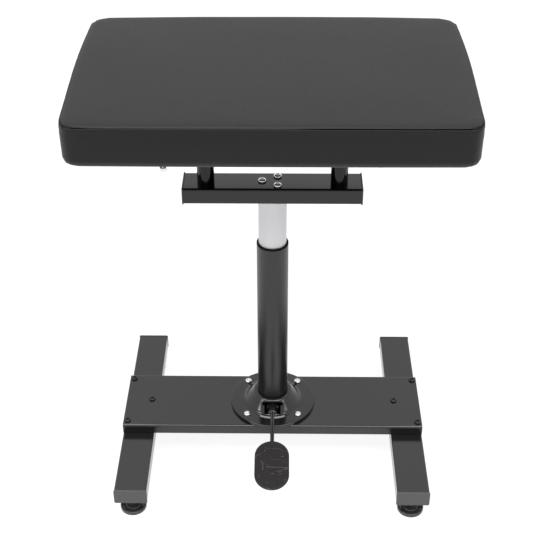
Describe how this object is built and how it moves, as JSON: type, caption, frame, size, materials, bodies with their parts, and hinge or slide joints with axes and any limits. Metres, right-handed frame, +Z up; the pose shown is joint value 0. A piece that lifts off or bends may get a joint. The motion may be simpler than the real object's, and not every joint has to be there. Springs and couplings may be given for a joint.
{
  "type": "manicure armrest",
  "caption": "Height-adjustable padded armrest on a swivelling gas-lift column with a foot pedal release, on a two-legged steel base with levelling feet.",
  "frame": {"origin": "on the floor, under the column's axis, at the middle of the base", "axes": "+X to the right along the crossbar and the cushion's length, +Y away from the user and the pedal, along the legs, +Z up along the column"},
  "size_m": [0.538, 0.3856, 0.6735],
  "materials": {
    "black_powder_coat": "semi-gloss black powder coat with a fine grain",
    "cap_plastic": "moulded dark grey plastic",
    "collar_plastic": "smooth black nylon",
    "foot_rubber": "moulded black rubber",
    "pedal_rubber": "worn black rubber with faint scratches",
    "lift_steel": "satin silver tube",
    "zinc_steel": "bright zinc-plated steel",
    "black_screw": "black oxide steel",
    "bearing_steel": "ground steel",
    "cylinder_paint": "black paint",
    "cushion_leather": "black imitation leather with a fine grain and a sewn seam",
    "foam": "open polyurethane foam",
    "plywood": "birch plywood"
  },
  "bodies": {
    "root": {"left_leg": "black_powder_coat", "right_leg": "black_powder_coat", "front_left_leg_cap": "cap_plastic", "front_right_leg_cap": "cap_plastic", "rear_left_leg_cap": "cap_plastic", "rear_right_leg_cap": "cap_plastic", "left_leg_screw_front": "black_screw", "left_leg_screw_rear": "black_screw", "left_leg_screw_inner": "black_screw", "right_leg_screw_front": "black_screw", "right_leg_screw_rear": "black_screw", "right_leg_screw_inner": "black_screw", "base_plate": "black_powder_coat", "column_housing": "black_powder_coat", "front_left_flange_screw": "zinc_steel", "front_right_flange_screw": "zinc_steel", "rear_left_flange_screw": "zinc_steel", "rear_right_flange_screw": "zinc_steel", "column_sleeve": "black_powder_coat", "sleeve_collar": "collar_plastic", "pivot_pin": "zinc_steel", "lower_race": "bearing_steel", "ball_cage": "bearing_steel"},
    "spindle": {"upper_race": "bearing_steel", "piston_rod": "bearing_steel", "rod_clip": "black_screw", "piston": "zinc_steel"},
    "armrest": {"gas_cylinder": "cylinder_paint", "lift_tube": "lift_steel", "tube_guide_ring": "collar_plastic", "crossbar": "black_powder_coat", "left_crossbar_cap": "cap_plastic", "right_crossbar_cap": "cap_plastic", "crossbar_screw_1": "zinc_steel", "crossbar_screw_2": "zinc_steel", "crossbar_screw_3": "zinc_steel", "left_post": "black_powder_coat", "right_post": "black_powder_coat", "cross_rail": "black_powder_coat", "left_side_rail": "black_powder_coat", "right_side_rail": "black_powder_coat", "cushion_board": "plywood", "foam_core": "foam", "cushion_cover": "cushion_leather", "front_left_bolt": "zinc_steel", "front_right_bolt": "zinc_steel", "rear_left_bolt": "zinc_steel", "rear_right_bolt": "zinc_steel"},
    "release_pin": {"release_pin": "zinc_steel"},
    "pedal": {"pedal_arm": "black_powder_coat", "pedal_pad": "pedal_rubber"},
    "front_left_foot": {"front_left_foot": "foot_rubber"},
    "front_left_foot_stud": {"front_left_foot_stud": "zinc_steel"},
    "front_right_foot": {"front_right_foot": "foot_rubber"},
    "front_right_foot_stud": {"front_right_foot_stud": "zinc_steel"},
    "rear_left_foot": {"rear_left_foot": "foot_rubber"},
    "rear_left_foot_stud": {"rear_left_foot_stud": "zinc_steel"},
    "rear_right_foot": {"rear_right_foot": "foot_rubber"},
    "rear_right_foot_stud": {"rear_right_foot_stud": "zinc_steel"}
  },
  "joints": [
    {"name": "swivel", "type": "hinge", "parent": "root", "child": "spindle", "pos_m": [0, 0, 0.1], "axis": [0, 0, 1], "continuous": true},
    {"name": "lift", "type": "slide", "parent": "spindle", "child": "armrest", "axis": [0, 0, 1], "range_m": [-0.078, 0.118]},
    {"name": "release", "type": "slide", "parent": "spindle", "child": "release_pin", "axis": [0, 0, 1], "range_m": [0, 0.0045], "stiffness_N_per_m": 1500, "springref_m": -0.002},
    {"name": "pedal_press", "type": "hinge", "parent": "root", "child": "pedal", "pos_m": [0, -0.031, 0.0856], "axis": [1, 0, 0], "range_deg": [0, 8], "stiffness_Nm_per_rad": 4, "springref_deg": -14.32},
    {"name": "front_left_foot_height", "type": "slide", "parent": "root", "child": "front_left_foot", "axis": [0, 0, 1], "range_m": [-0.006, 0.003]},
    {"name": "front_left_foot_screw", "type": "hinge", "parent": "front_left_foot", "child": "front_left_foot_stud", "pos_m": [-0.217, -0.17, 0.02], "axis": [0, 0, 1], "range_deg": [-1760, 890]},
    {"name": "front_right_foot_height", "type": "slide", "parent": "root", "child": "front_right_foot", "axis": [0, 0, 1], "range_m": [-0.006, 0.003]},
    {"name": "front_right_foot_screw", "type": "hinge", "parent": "front_right_foot", "child": "front_right_foot_stud", "pos_m": [0.217, -0.17, 0.02], "axis": [0, 0, 1], "range_deg": [-1760, 890]},
    {"name": "rear_left_foot_height", "type": "slide", "parent": "root", "child": "rear_left_foot", "axis": [0, 0, 1], "range_m": [-0.006, 0.003]},
    {"name": "rear_left_foot_screw", "type": "hinge", "parent": "rear_left_foot", "child": "rear_left_foot_stud", "pos_m": [-0.217, 0.17, 0.02], "axis": [0, 0, 1], "range_deg": [-1760, 890]},
    {"name": "rear_right_foot_height", "type": "slide", "parent": "root", "child": "rear_right_foot", "axis": [0, 0, 1], "range_m": [-0.006, 0.003]},
    {"name": "rear_right_foot_screw", "type": "hinge", "parent": "rear_right_foot", "child": "rear_right_foot_stud", "pos_m": [0.217, 0.17, 0.02], "axis": [0, 0, 1], "range_deg": [-1760, 890]}
  ],
  "couplings": [
    {"joint": "release", "follows": "pedal_press", "m_per_rad": 0.031},
    {"joint": "front_left_foot_screw", "follows": "front_left_foot_height", "rad_per_m": 5026.5},
    {"joint": "front_right_foot_screw", "follows": "front_right_foot_height", "rad_per_m": 5026.5},
    {"joint": "rear_left_foot_screw", "follows": "rear_left_foot_height", "rad_per_m": 5026.5},
    {"joint": "rear_right_foot_screw", "follows": "rear_right_foot_height", "rad_per_m": 5026.5}
  ]
}
